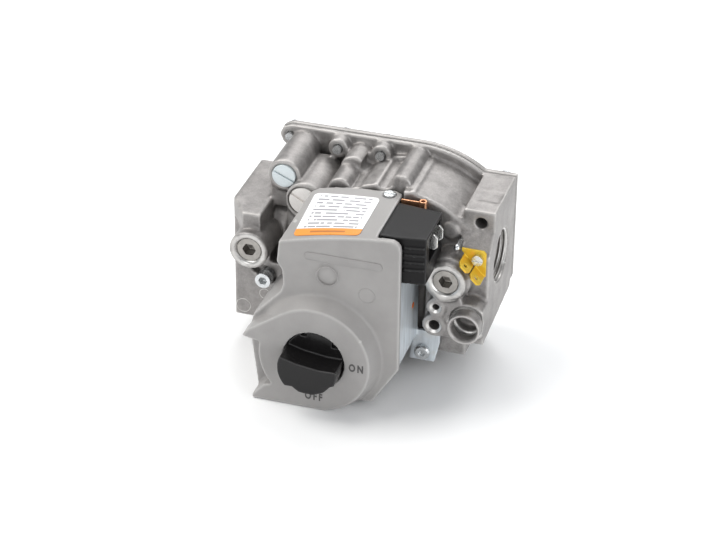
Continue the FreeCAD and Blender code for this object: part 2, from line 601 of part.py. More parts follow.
def adjuster(place, r, y0, y1):
    x, z = place
    return cyl_y(x, z, r, y0, y1).cut(box(x - 10, x + 10, y0 - 1, y0 + 1.2, z - 0.6, z + 0.6))


def regulator_parts():
    rx, rz = REGULATOR
    screw = adjuster(REGULATOR, 5.4, -6.0, -2.0)
    button = join([cyl_y(rx, rz, 4.6, -2.0, -0.8), cyl_y(rx, rz, 2.4, -0.8, 1.4)])
    spring = spring_y(rx, rz, 3.4, 0.45, -0.75, 8.95, 5)
    return screw, button, spring


def pilot_parts():
    px, pz = PILOT_ADJUST
    screw = cyl_y(px, pz, 3.0, -3.5, 1.0).fuse([cone_y(px, pz, 3.0, 1.2, 1.0, 4.0)])
    screw = screw.cut([box(px - 6, px + 6, -4, -2.5, pz - 0.5, pz + 0.5),
                       ring_y(px, pz, 4.0, 2.2, -1.6, -0.2)])
    seal = ring_y(px, pz, 2.98, 2.25, -1.55, -0.25)
    return screw.removeSplitter(), seal


def body_screw():
    x, z = BODY_SCREW
    shape = join([cyl_y(x, z, 2.0, -12.5, 1.5), cyl_y(x, z, 3.3, -16.6, -12.4)])
    return shape.cut(hex_y(x, z, 3.0, -18, -14.2))


def inlet_screen():
    """A round wire screen pressed lightly into the mouth of the inlet gallery."""
    inner_r = GALLERY_R - 1.1
    rim = ring_y(0, 0, GALLERY_R - FIT, inner_r, -0.6, 0.6)
    pitch, half_bar = 2.0, 0.3
    bars = []
    for k in range(-3, 4):
        bars.append(box(-8, 8, -0.35, 0.0, k * pitch - half_bar, k * pitch + half_bar))
        bars.append(box(k * pitch - half_bar, k * pitch + half_bar, -0.05, 0.35, -8, 8))
    mesh = join([rim] + [bar.common(cyl_y(0, 0, inner_r + 0.3, -1, 1)) for bar in bars])
    mesh.rotate(V(0, 0, 0), V(0, 0, 1), 90)
    mesh.translate(V(PORT_DEPTH + 1.2, 0, 0))
    return mesh


# ---- write everything -------------------------------------------------------------------------------------
os.makedirs("parts", exist_ok=True)
save("valve_body", valve_body())
save("diaphragm", diaphragm())
save("diaphragm_cover", diaphragm_cover())
save("diaphragm_cover_screws", diaphragm_cover_screws())
disc, holder, plate, spring = main_valve()
save("main_valve_disc", disc)
save("main_valve_holder", holder)
save("diaphragm_plate", plate)
save("main_valve_spring", spring)
save("manual_valve_rotor", manual_rotor())
save("manual_valve_seat", manual_seat())
save("knob_stem", knob_stem())
save("stem_seal", stem_seal())
save("control_knob", control_knob())
save("front_cover", front_cover())
save("cover_label", cover_label())
save("cover_screw", cover_screw())
save("solenoid_frame", solenoid_frame())
save("frame_screw", frame_screw())
core_tube, bobbin, winding, fixed_core = coil()
save("core_tube", core_tube)
save("coil_bobbin", bobbin)
save("coil_winding", winding)
save("fixed_core", fixed_core)
plunger, plunger_seal, plunger_spring = plunger_set()
save("plunger", plunger)
save("plunger_seal", plunger_seal)
save("plunger_spring", plunger_spring)
save("terminal_block", terminal_block())
save("spade_terminals", spade_terminals())
save("block_clip", block_clip())
save("ground_terminal", ground_terminal())
save("ground_screw", ground_screw())
save("locating_pin", locating_pin())
save("inlet_tap_plug", tap_plug(INLET_TAP, 1.2))
save("outlet_tap_plug", tap_plug(OUTLET_TAP, 1.2))
save("regulator_cap", slotted_cap(REGULATOR, 5.8, -12.2, -10.0, 1.1, 28))
save("regulator_cap_seal", o_ring_seat(REGULATOR, 4.6, -9.3))
save("pilot_cap", slotted_cap(PILOT_ADJUST, 4.8, -9.6, -7.0, 0.7, 24))
save("pilot_cap_seal", o_ring_seat(PILOT_ADJUST, 3.9, -6.25))
regulator_screw, spring_button, regulator_spring = regulator_parts()
save("regulator_adjuster", regulator_screw)
save("spring_button", spring_button)
save("regulator_spring", regulator_spring)
pilot_screw, pilot_seal = pilot_parts()
save("pilot_adjuster", pilot_screw)
save("pilot_adjuster_seal", pilot_seal)
save("body_screw", body_screw())
save("inlet_screen", inlet_screen())
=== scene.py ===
import json
import math
import random

import bmesh
import bpy
from mathutils import Matrix, Vector


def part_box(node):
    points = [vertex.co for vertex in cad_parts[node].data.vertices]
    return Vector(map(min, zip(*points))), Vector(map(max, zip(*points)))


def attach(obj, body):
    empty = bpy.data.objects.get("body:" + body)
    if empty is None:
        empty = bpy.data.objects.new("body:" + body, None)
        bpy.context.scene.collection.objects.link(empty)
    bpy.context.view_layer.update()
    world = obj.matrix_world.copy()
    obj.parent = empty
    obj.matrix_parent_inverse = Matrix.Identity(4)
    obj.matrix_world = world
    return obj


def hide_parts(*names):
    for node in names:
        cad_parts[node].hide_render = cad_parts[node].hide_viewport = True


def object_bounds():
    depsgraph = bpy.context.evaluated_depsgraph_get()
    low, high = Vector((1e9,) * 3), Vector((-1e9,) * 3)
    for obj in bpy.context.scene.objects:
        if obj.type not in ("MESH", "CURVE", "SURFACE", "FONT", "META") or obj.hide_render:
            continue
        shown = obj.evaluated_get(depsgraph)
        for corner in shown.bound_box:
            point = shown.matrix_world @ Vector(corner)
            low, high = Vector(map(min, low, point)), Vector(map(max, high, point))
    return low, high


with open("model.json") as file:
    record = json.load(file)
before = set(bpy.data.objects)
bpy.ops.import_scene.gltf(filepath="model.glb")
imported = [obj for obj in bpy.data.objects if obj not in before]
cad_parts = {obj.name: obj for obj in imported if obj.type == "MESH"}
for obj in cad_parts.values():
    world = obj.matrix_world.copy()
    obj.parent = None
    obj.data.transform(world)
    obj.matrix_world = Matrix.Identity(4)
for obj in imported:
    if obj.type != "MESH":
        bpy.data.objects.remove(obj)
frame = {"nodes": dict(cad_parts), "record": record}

cad_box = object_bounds()
MM = 0.001
FLOOR_Z = cad_box[0][2]
nodes = frame["nodes"]
node_slot = {part["node"]: part["material_slot"] for part in frame["record"]["subparts"]}
behaviour = frame["record"]["behaviour"]
node_body = {node: body for body, members in behaviour["bodies"].items() for node in members}


def V(x, y, z):
    """A point given in millimetres, as metres."""
    return Vector((x * MM, y * MM, z * MM))


def link(name, data):
    """A new object in the scene for a mesh, curve, light or camera."""
    made = bpy.data.objects.new(name, data)
    bpy.context.scene.collection.objects.link(made)
    return made


def middle(node):
    """The centre of a CAD node's box, in millimetres."""
    low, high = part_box(node)
    return (low + high) / 2 / MM


# ---- camera, lights and floor -----------------------------------------------------------
def make_camera():
    """A long lens that looks down on the valve from its front right."""
    azimuth, elevation, roll = math.radians(17.19), math.radians(31.33), math.radians(0.74)
    distance = 973.3
    aim = V(54.5, -18.0, -6.6)
    ahead = Vector((-math.sin(azimuth) * math.cos(elevation),
                    math.cos(azimuth) * math.cos(elevation), -math.sin(elevation)))
    right = Vector((math.cos(azimuth), math.sin(azimuth), 0.0))
    up = right.cross(ahead)
    tilted_right = right * math.cos(roll) + up * math.sin(roll)
    tilted_up = up * math.cos(roll) - right * math.sin(roll)
    data = bpy.data.cameras.new("camera")
    data.sensor_width = 36.0
    data.lens = 124.1
    data.clip_start, data.clip_end = 0.05, 20.0
    camera = link("camera", data)
    turn = Matrix((tilted_right, tilted_up, -ahead)).transposed()
    camera.matrix_world = Matrix.Translation(aim - ahead * distance * MM) @ turn.to_4x4()
    bpy.context.scene.camera = camera


def area_light(name, place, size, power, tint=(1, 1, 1)):
    target = V(55, -10, -10)
    data = bpy.data.lights.new(name, "AREA")
    data.shape = "RECTANGLE"
    data.size, data.size_y = size
    data.energy = power
    data.color = tint
    light = link(name, data)
    light.location = place
    light.rotation_euler = (target - Vector(place)).to_track_quat("-Z", "Y").to_euler()


WORLD_LIGHT = 0.50


def make_lights():
    area_light("key", (-0.62, -0.10, 0.95), (0.75, 0.9), 10.0, (1.0, 0.985, 0.96))
    area_light("top", (0.10, 0.75, 0.95), (1.1, 0.7), 9.0)
    area_light("fill", (0.95, -0.55, 0.30), (0.5, 0.9), 4.6, (0.97, 0.985, 1.0))
    area_light("front", (-0.2, -1.3, 0.35), (0.5, 0.5), 2.2)
    world = bpy.data.worlds.new("studio")
    world.use_nodes = True
    background = world.node_tree.nodes["Background"]
    background.inputs["Color"].default_value = (0.97, 0.985, 1.0, 1)
    background.inputs["Strength"].default_value = WORLD_LIGHT
    bpy.context.scene.world = world
    bpy.context.scene.view_settings.view_transform = "Standard"


def make_floor():
    mesh = bpy.data.meshes.new("studio_floor")
    size = 6.0
    corners = [(-size, -size, 0), (size, -size, 0), (size, size, 0), (-size, size, 0)]
    mesh.from_pydata(corners, [], [(0, 1, 2, 3)])
    floor = link("studio_floor", mesh)
    gap_below = 0.0002
    floor.location.z = FLOOR_Z - gap_below
    material = Paint("floor", (0.93, 0.935, 0.94), roughness=0.6).material
    mesh.materials.append(material)


# ---- materials ------------------------------------------------------------------------------
class Paint:
    """A principled material with object-space noise for its colour, roughness and bump."""

    def __init__(self, name, base, metallic=0.0, roughness=0.5):
        self.material = bpy.data.materials.new(name)
        self.material.use_nodes = True
        self.tree = self.material.node_tree
        self.shader = self.tree.nodes["Principled BSDF"]
        self.shader.inputs["Metallic"].default_value = metallic
        self.shader.inputs["Roughness"].default_value = roughness
        self.shader.inputs["Base Color"].default_value = (*base, 1)
        self.place = self.tree.nodes.new("ShaderNodeTexCoord").outputs["Object"]
        self.colour = None
        self.base = base
        self.height = None

    def node(self, kind, links=(), **values):
        node = self.tree.nodes.new("ShaderNode" + kind)
        for key, value in values.items():
            setattr(node, key, value)
        for socket, source in links:
            if hasattr(source, "node"):
                self.tree.links.new(source, node.inputs[socket])
            else:
                node.inputs[socket].default_value = source
        return node

    def noise(self, size_mm, detail=3.0, stretch=(1, 1, 1), rough=0.55):
        """Noise from 0 to 1 whose features are about size_mm across."""
        scaled = self.node("VectorMath", [(0, self.place), (1, stretch)], operation="MULTIPLY")
        links = [("Vector", scaled.outputs[0]), ("Scale", 1.0 / (size_mm * MM)), ("Detail", detail),
                 ("Roughness", rough)]
        return self.node("TexNoise", links).outputs["Fac"]

    def ramp(self, source, low, high, out_low=0.0, out_high=1.0):
        """Map a value from low..high to out_low..out_high, held at both ends."""
        return self.node("MapRange", [("Value", source), ("From Min", low), ("From Max", high),
                                      ("To Min", out_low), ("To Max", out_high)]).outputs["Result"]

    def math(self, operation, a, b=0.0):
        return self.node("Math", [(0, a), (1, b)], operation=operation).outputs[0]

    def tint(self, mask, colour):
        """Lay a colour over what is there, where the mask is 1."""
        below = self.colour if self.colour is not None else (*self.base, 1)
        mix = self.node("Mix", [(0, mask), (6, below), (7, (*colour, 1))], data_type="RGBA")
        self.colour = mix.outputs[2]
        self.tree.links.new(self.colour, self.shader.inputs["Base Color"])

    def shade(self, source):
        """Multiply the colour by a number."""
        below = self.colour if self.colour is not None else (*self.base, 1)
        grey = self.node("CombineColor", [(0, source), (1, source), (2, source)])
        mix = self.node("Mix", [(0, 1.0), (6, below), (7, grey.outputs[0])], data_type="RGBA",
                        blend_type="MULTIPLY")
        self.colour = mix.outputs[2]
        self.tree.links.new(self.colour, self.shader.inputs["Base Color"])

    def rough(self, source, low, high):
        """Let the roughness follow a noise between two values."""
        self.tree.links.new(self.ramp(source, 0.25, 0.75, low, high), self.shader.inputs["Roughness"])

    def bump(self, source, depth_mm, strength=1.0):
        """Add a bump on top of those already there."""
        links = [("Height", source), ("Distance", depth_mm * MM), ("Strength", strength)]
        if self.height is not None:
            links.append(("Normal", self.height))
        self.height = self.node("Bump", links).outputs["Normal"]
        self.tree.links.new(self.height, self.shader.inputs["Normal"])

    def axis(self, index):
        return self.node("SeparateXYZ", [(0, self.place)]).outputs[index]

    def edges(self, low=0.50, high=0.56):
        """1 on convex edges, 0 elsewhere."""
        pointiness = self.node("NewGeometry").outputs["Pointiness"]
        return self.ramp(pointiness, low, high)

    def hollows(self, low=0.44, high=0.50):
        """1 in concave corners, 0 elsewhere."""
        pointiness = self.node("NewGeometry").outputs["Pointiness"]
        return self.ramp(pointiness, low, high, 1.0, 0.0)


def cast_aluminium():
    """Die-cast aluminium: mottled, with painted shade in its corners, and lighter edges that are partly
    burnished and partly a painted highlight.
    """
    paint = Paint("cast_aluminium", (0.335, 0.320, 0.312), metallic=0.72)
    cloud = paint.noise(9.0, 4.0)
    blotch = paint.noise(3.1, 5.0, rough=0.65)
    fine = paint.noise(0.55, 4.0)
    flow = paint.noise(2.2, 3.0, (1, 0.35, 1))
    paint.shade(paint.ramp(cloud, 0.3, 0.7, 0.80, 1.14))
    paint.shade(paint.ramp(blotch, 0.35, 0.7, 0.82, 1.12))
    paint.shade(paint.ramp(fine, 0.3, 0.75, 0.86, 1.08))
    # Painted shade: the concave corners are darkened to stand in for the shade that gathers there.
    paint.tint(paint.math("MULTIPLY", paint.hollows(0.42, 0.495), 0.80), (0.085, 0.078, 0.074))
    # Lighter convex edges: partly burnished wear, partly a painted highlight.
    paint.tint(paint.math("MULTIPLY", paint.edges(0.508, 0.56), 0.60), (0.66, 0.64, 0.62))
    paint.rough(blotch, 0.34, 0.60)
    paint.bump(fine, 0.05, 0.9)
    paint.bump(flow, 0.14, 0.6)
    paint.bump(blotch, 0.22, 0.5)
    paint.bump(cloud, 0.5, 0.35)
    return paint.material


def machined_aluminium():
    paint = Paint("machined_aluminium", (0.40, 0.385, 0.37), metallic=0.85)
    fine = paint.noise(0.25, 3.0)
    marks = paint.noise(1.6, 3.0)
    paint.shade(paint.ramp(marks, 0.3, 0.7, 0.76, 1.1))
    # Lighter convex edges: partly worn bright, partly a painted highlight.
    paint.tint(paint.math("MULTIPLY", paint.edges(), 0.6), (0.9, 0.89, 0.87))
    paint.rough(marks, 0.28, 0.46)
    paint.bump(fine, 0.012, 0.7)
    return paint.material


def turned_metal(name, base, rough_low, rough_high):
    paint = Paint(name, base, metallic=0.95)
    fine = paint.noise(0.30, 3.0)
    cloud = paint.noise(2.5, 3.0)
    paint.shade(paint.ramp(cloud, 0.3, 0.7, 0.84, 1.1))
    paint.rough(fine, rough_low, rough_high)
    paint.bump(fine, 0.01, 0.6)
    return paint.material


def zinc_sheet():
    """Blue-bright zinc with faint stains that run down it."""
    paint = Paint("zinc_sheet", (0.74, 0.79, 0.83), metallic=0.45)
    runs = paint.noise(1.8, 4.0, (1, 1, 0.12))
    cloud = paint.noise(7.0, 3.0)
    paint.shade(paint.ramp(runs, 0.3, 0.72, 0.80, 1.10))
    paint.tint(paint.ramp(cloud, 0.55, 0.8, 0.0, 0.45), (0.66, 0.63, 0.56))
    paint.rough(runs, 0.26, 0.44)
    paint.bump(paint.noise(0.4, 2.0), 0.012, 0.6)
    return paint.material


def rubber(name, base):
    paint = Paint(name, base)
    grain = paint.noise(0.5, 3.0)
    paint.shade(paint.ramp(grain, 0.3, 0.7, 0.8, 1.3))
    paint.rough(grain, 0.62, 0.80)
    paint.bump(grain, 0.03, 0.5)
    return paint.material


def moulded_plastic(name, base, rough_low, rough_high, edge=None, metallic=0.0, specular=0.5):
    """Moulded plastic with a fine spark texture, soft cloudiness and, when an edge colour is given, a painted
    highlight along its edges.
    """
    paint = Paint(name, base, metallic=metallic)
    paint.shader.inputs["Specular IOR Level"].default_value = specular
    grain_mm, grain_depth_mm, cloud_mm = 0.22, 0.02, 11.0
    grain = paint.noise(grain_mm, 2.0)
    cloud = paint.noise(cloud_mm, 3.0)
    paint.shade(paint.ramp(cloud, 0.3, 0.7, 0.93, 1.06))
    paint.shade(paint.ramp(grain, 0.3, 0.7, 0.95, 1.05))
    # Painted highlight: the convex edges are lightened towards the edge colour.
    if edge:
        paint.tint(paint.math("MULTIPLY", paint.edges(0.505, 0.55), 0.75), edge)
    paint.rough(cloud, rough_low, rough_high)
    paint.bump(grain, grain_depth_mm, 0.6)
    return paint.material


def copper_wire():
    """Enamelled wire wound round Y."""
    paint = Paint("copper_wire", (0.50, 0.20, 0.08), metallic=0.8)
    wave_period = 3.2 * 0.4 * MM
    turns = paint.node("TexWave", [("Vector", paint.place), ("Scale", 1.0 / wave_period)],
                       bands_direction="Y")
    paint.shade(paint.ramp(turns.outputs["Fac"], 0.0, 1.0, 0.55, 1.1))
    paint.rough(paint.noise(0.6), 0.25, 0.40)
    paint.bump(turns.outputs["Fac"], 0.12, 0.8)
    return paint.material


def yellow_chromate():
    """Zinc with a yellow passivation that drifts towards green and orange."""
    paint = Paint("yellow_chromate", (0.74, 0.50, 0.05), metallic=0.55)
    drift = paint.noise(2.4, 3.0)
    paint.tint(paint.ramp(drift, 0.52, 0.75, 0.0, 0.6), (0.93, 0.44, 0.07))
    paint.tint(paint.ramp(drift, 0.22, 0.42, 0.5, 0.0), (0.80, 0.72, 0.16))
    paint.rough(paint.noise(0.5), 0.28, 0.42)
    paint.bump(paint.noise(0.3, 2.0), 0.01, 0.6)
    return paint.material


def label_film():
    """White film with an orange band along its front edge and plain printed bars in place of words."""
    low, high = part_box("cover_label")
    paint = Paint("label_film", (0.90, 0.90, 0.905))
    x, y = paint.axis(0), paint.axis(1)
    band_end, band_gap, side_margin, end_margin = 4.3 * MM, 0.7 * MM, 2.6 * MM, 1.2 * MM
    line_pitch, line_share = 2.25 * MM, 0.50
    words_per_metre, row_step, word_gap = 520.0, 7.3, 0.40

    def above(source, limit):
        return paint.math("GREATER_THAN", source, limit)

    def below(source, limit):
        return paint.math("LESS_THAN", source, limit)

    def both(a, b):
        return paint.math("MULTIPLY", a, b)

    depth = paint.math("SUBTRACT", y, low.y)                # metres back from the front edge
    along = paint.math("DIVIDE", paint.math("SUBTRACT", depth, band_end + band_gap), line_pitch)
    in_line = below(paint.math("FRACT", along), line_share)
    row = paint.math("FLOOR", along)
    words = paint.node("TexNoise", [("Scale", 1.0), ("Detail", 1.0)], noise_dimensions="2D")
    where = paint.node("CombineXYZ", [(0, both(x, words_per_metre)), (1, both(row, row_step))])
    paint.tree.links.new(where.outputs[0], words.inputs["Vector"])
    is_word = above(words.outputs["Fac"], word_gap)
    inside = both(above(x, low.x + side_margin), below(x, high.x - side_margin))
    tall = both(above(depth, band_end + band_gap), below(depth, high.y - low.y - end_margin))
    ink = both(both(in_line, is_word), both(inside, tall))
    paint.tint(both(ink, 0.78), (0.16, 0.16, 0.18))
    paint.tint(below(depth, band_end), (0.80, 0.29, 0.045))
    band_line = both(above(depth, band_end), below(depth, band_end + 0.25 * MM))
    paint.tint(both(band_line, 0.7), (0.25, 0.15, 0.10))
    from_middle = paint.math("ABSOLUTE", paint.math("SUBTRACT", x, (low.x + high.x) / 2))
    bar = both(both(above(depth, 1.5 * MM), below(depth, 2.8 * MM)), below(from_middle, 7.0 * MM))
    paint.tint(both(bar, 0.70), (0.30, 0.11, 0.03))
    paint.rough(paint.noise(3.0), 0.26, 0.36)
    paint.bump(paint.noise(1.2, 2.0), 0.01, 0.4)
    return paint.material


def print_ink():
    """Dark, slightly broken pad-printed ink."""
    paint = Paint("print_ink", (0.065, 0.062, 0.062))
    speck = paint.noise(0.35, 3.0)
    paint.shade(paint.ramp(speck, 0.3, 0.7, 0.7, 1.5))
    paint.rough(speck, 0.5, 0.7)
    return paint.material


def orange_mark():
    """An inspector's dab of orange paint."""
    paint = Paint("orange_mark", (0.95, 0.24, 0.04))
    speck = paint.noise(0.5, 3.0)
    paint.shade(paint.ramp(speck, 0.3, 0.7, 0.8, 1.15))
    paint.rough(speck, 0.4, 0.6)
    return paint.material


slot_material = {
    "cast_aluminium": cast_aluminium(),
    "machined_aluminium": machined_aluminium(),
    "black_rubber": rubber("black_rubber", (0.020, 0.020, 0.021)),
    "grey_rubber": rubber("grey_rubber", (0.30, 0.29, 0.28)),
    "zinc_steel": turned_metal("zinc_steel", (0.66, 0.68, 0.69), 0.18, 0.34),
    "zinc_sheet": zinc_sheet(),
    "spring_steel": turned_metal("spring_steel", (0.42, 0.41, 0.40), 0.25, 0.40),
    "stainless_steel": turned_metal("stainless_steel", (0.58, 0.57, 0.55), 0.22, 0.36),
    "brass": turned_metal("brass", (0.70, 0.50, 0.22), 0.22, 0.38),
    # The edge colours given to the plastics below are painted highlights on their edges.
    "black_plastic": moulded_plastic("black_plastic", (0.008, 0.0075, 0.008), 0.26, 0.38,
                                     edge=(0.045, 0.045, 0.045), specular=0.17),
    "grey_plastic": moulded_plastic("grey_plastic", (0.300, 0.290, 0.284), 0.34, 0.50,
                                    edge=(0.50, 0.49, 0.48)),
    "white_plastic": moulded_plastic("white_plastic", (0.78, 0.76, 0.71), 0.35, 0.5),
    "label_film": label_film(),
    "copper_wire": copper_wire(),
    "copper_strip": turned_metal("copper_strip", (0.80, 0.42, 0.24), 0.24, 0.38),
    "tinned_brass": turned_metal("tinned_brass", (0.74, 0.74, 0.72), 0.20, 0.36),
    "yellow_chromate": yellow_chromate(),
    "plug_steel": turned_metal("plug_steel", (0.34, 0.325, 0.305), 0.24, 0.42),
    "white_metal": moulded_plastic("white_metal", (0.90, 0.87, 0.84), 0.36, 0.48),
    "pale_zinc": moulded_plastic("pale_zinc", (0.66, 0.72, 0.74), 0.30, 0.44, metallic=0.30),
}
knob_gloss = moulded_plastic("knob_gloss", (0.008, 0.0075, 0.0078), 0.16, 0.27, edge=(0.05, 0.05, 0.05),
                             specular=0.32)
cover_grey = moulded_plastic("cover_grey", (0.285, 0.275, 0.270), 0.36, 0.52)
ink = print_ink()
paint_spot = orange_mark()
chamfer_shine = turned_metal("chamfer_shine", (0.60, 0.59, 0.575), 0.24, 0.38)


# ---- mesh helpers -------------------------------------------------------------------------------
def finished(name, shape):
    """A mesh from a bmesh, which is freed."""
    mesh = bpy.data.meshes.new(name)
    shape.to_mesh(mesh)
    shape.free()
    return mesh


def evaluated_mesh(piece):
    """The mesh that an object has after its modifiers or as a curve."""
    bpy.context.view_layer.update()
    return bpy.data.meshes.new_from_object(piece.evaluated_get(bpy.context.evaluated_depsgraph_get()))


def add_object(name, mesh, material, body):
    piece = link(name, mesh)
    if not mesh.materials:
        mesh.materials.append(material)
    for polygon in mesh.polygons:
        polygon.use_smooth = True
    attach(piece, body)
    return piece


def apply_modifiers(piece):
    mesh = evaluated_mesh(piece)
    mesh.name = piece.name
    piece.modifiers.clear()
    piece.data = mesh


def softened(node, name, voxel_mm, passes, cutters=()):
    """A copy of a CAD node with its edges rounded as a mould leaves them, which stands for that node."""
    most_triangles = 190000
    mesh = nodes[node].data.copy()
    mesh.materials.clear()
    mesh.materials.append(slot_material[node_slot[node]])
    for attribute in [a.name for a in mesh.attributes if a.name.startswith("custom_normal")]:
        mesh.attributes.remove(mesh.attributes[attribute])
    piece = link(name, mesh)
    remesh = piece.modifiers.new("remesh", "REMESH")
    remesh.mode = "VOXEL"
    remesh.voxel_size = voxel_mm * MM
    smooth = piece.modifiers.new("smooth", "SMOOTH")
    smooth.factor, smooth.iterations = 0.5, passes
    apply_modifiers(piece)
    for cutter in cutters:
        cut = piece.modifiers.new("cut", "BOOLEAN")
        cut.operation, cut.object, cut.solver = "DIFFERENCE", cutter, "EXACT"
        cut.material_mode = "TRANSFER"
        apply_modifiers(piece)
        bpy.data.objects.remove(cutter)
    triangles = sum(len(polygon.vertices) - 2 for polygon in piece.data.polygons)
    if triangles > most_triangles:
        thin = piece.modifiers.new("thin", "DECIMATE")
        thin.ratio = most_triangles / triangles
        apply_modifiers(piece)
    for polygon in piece.data.polygons:
        polygon.use_smooth = True
    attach(piece, node_body[node])
    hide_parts(node)
    return piece


def sharp_by_angle(piece, degrees):
    piece.data.set_sharp_from_angle(angle=math.radians(degrees))


def cutter_cylinders(name, cylinders, material):
    """One mesh of separate capped cylinders (origin, axis, radius, radius at the far end, length)."""
    shape = bmesh.new()
    for origin, axis, r0, r1, length in cylinders:
        along = Vector(axis).normalized()
        turn = Vector((0, 0, 1)).rotation_difference(along).to_matrix().to_4x4()
        place = Matrix.Translation(V(*(Vector(origin) + along * length / 2))) @ turn
        bmesh.ops.create_cone(shape, cap_ends=True, segments=72, radius1=r0 * MM, radius2=r1 * MM,
                              depth=length * MM, matrix=place)
    mesh = finished(name, shape)
    mesh.materials.append(material)
    return link(name, mesh)


def thread(name, origin, axis, major_r, depth, pitch, length, material, body):
    """An internal helical thread as a closed sleeve: crests inside, plain cylinder outside."""
    along = Vector(axis).normalized()
    side = along.orthogonal().normalized()
    across = along.cross(side)
    segments, step, sleeve = 72, pitch / 8, 0.25
    count = int(length / step)
    shape = bmesh.new()

    def ring(radius_at, h):
        row = []
        for k in range(segments):
            angle = math.tau * k / segments
            outwards = side * math.cos(angle) + across * math.sin(angle)
            row.append(shape.verts.new(V(*(Vector(origin) + outwards * radius_at(angle, h) + along * h))))
        return row

    def crest(angle, h):
        phase = (h / pitch - angle / math.tau) % 1.0
        return major_r - depth * max(0.0, min(1.0, 1.35 * (1 - abs(2 * phase - 1)) - 0.12))

    inner = [ring(crest, i * step) for i in range(count + 1)]
    outer = [ring(lambda angle, h: major_r + sleeve, i * count * step) for i in (1, 0)]
    rows = inner + outer
    for i in range(len(rows)):
        a, b = rows[i], rows[(i + 1) % len(rows)]
        for k in range(segments):
            j = (k + 1) % segments
            shape.faces.new((a[k], a[j], b[j], b[k]))
    bmesh.ops.recalc_face_normals(shape, faces=shape.faces)
    return add_object(name, finished(name, shape), material, body)


def wire_loop(name, points, radius, material, body):
    """A thin raised line round a closed row of points given in millimetres, as a mesh."""
    curve = bpy.data.curves.new(name, "CURVE")
    curve.dimensions = "3D"
    curve.bevel_depth = radius * MM
    curve.bevel_resolution = 2
    spline = curve.splines.new("POLY")
    spline.points.add(len(points) - 1)
    for target, point in zip(spline.points, points):
        target.co = (*V(*point), 1)
        target.radius = 1.0
    spline.use_cyclic_u = True
    holder = link(name, curve)
    mesh = evaluated_mesh(holder)
    mesh.name = name
    bpy.data.objects.remove(holder)
    return add_object(name, mesh, material, body)


def circle_points(x, y, z, r, wobble=0.0, seed=3):
    """Points round a circle that faces the front, in millimetres."""
    rng = random.Random(seed)
    count = 48
    points = []
    for k in range(count):
        angle = math.radians(360.0 * k / count)
        shake = 1 + rng.uniform(-wobble, wobble)
        points.append((x + r * shake * math.cos(angle), y, z + r * shake * math.sin(angle)))
    return points


# ---- pieces -----------------------------------------------------------------------------------------
for node, piece in nodes.items():
    piece.data.materials.clear()
    piece.data.materials.append(slot_material[node_slot[node]])

# Places and sizes below are in millimetres. Pairs are (x, z), and a third value is a radius.
TAP_FRONT = -27.6             # y of the pressure tap faces
BOSS_FRONT = -27.2            # y of the small bosses beside the pilot outlet
COLLAR_FRONT = -53.5
COVER_FRONT = -46.0
CASTING_FRONT = -12.0         # y of the lower left plate
NOTCH_FRONT = -50.4
VENT_HOLE = (88.0, -12.1, 1.5)
TEST_HOLE = (87.5, -20.4, 2.3)
TAP_FACE_R, OUTLET_TAP_FACE_R, TAP_MOUTH_R = 9.0, 8.8, 6.0
PORT_CUT_R, PORT_CUT_DEPTH = 11.0, 14.0
THREAD_START, THREAD_MAJOR_R, THREAD_DEPTH, THREAD_PITCH, THREAD_LENGTH = 13.0, 10.9, 0.75, 1.814, 12.4
# Each word's piece, its text, its middle, and a point beside it on the face that carries it.
WORDS = (("collar_on", "ON", (64.4, -28.8), (64.7, -31.5)),
         ("collar_off", "OFF", (47.2, -45.2), (47.2, -47.5)))
LETTER_HEIGHT = 3.1
COVER_RINGS = ((66.0, 0.2, 3.2), (50.4, 6.5, 4.2))
BAR_LEFT, BAR_RIGHT, BAR_LOW, BAR_TOP = 41.0, 72.0, 12.0, 15.4
KNOB_NOTCHES = ((-4.4, 10.6), (8.1, 7.6))     # from the knob's axis
EJECTOR_PINS = ((3.4, -36.6, 3.0), (12.6, -29.4, 2.2))
PAINT_SPOT = (-21.7, -16.0)   # (y, z) on the right side of the solenoid frame

# CAD node, its visible piece, voxel size in mm and smoothing passes.
ROUNDED = (
    ("front_cover", "front_cover_moulding", 0.42, 10),
    ("diaphragm_cover", "diaphragm_cover_casting", 0.55, 5),
    ("control_knob", "control_knob_moulding", 0.26, 5),
    ("terminal_block", "terminal_block_moulding", 0.30, 3),
    ("solenoid_frame", "solenoid_frame_sheet", 0.30, 3),
    ("body_screw", "body_cap_screw", 0.14, 3),
    ("frame_screw", "frame_torx_screw", 0.12, 4),
    ("cover_screw", "cover_pan_screw", 0.12, 4),
    ("ground_screw", "ground_pan_screw", 0.10, 4),
    ("ground_terminal", "ground_terminal_plate", 0.12, 3),
    ("spade_terminals", "spade_terminal_blades", 0.12, 2),
    ("inlet_tap_plug", "inlet_hex_plug", 0.16, 3),
    ("outlet_tap_plug", "outlet_hex_plug", 0.16, 3),
    ("regulator_cap", "regulator_slotted_cap", 0.14, 3),
    ("pilot_cap", "pilot_slotted_cap", 0.14, 3),
    ("block_clip", "block_clip_strip", 0.12, 2),
)

machined = slot_material["machined_aluminium"]
right_face = cad_box[1][0] / MM


def at_mount(name):
    mount = next(m for m in frame["record"]["mounts"] if m["name"] == name)
    return Vector(mount["pos_m"]) / MM


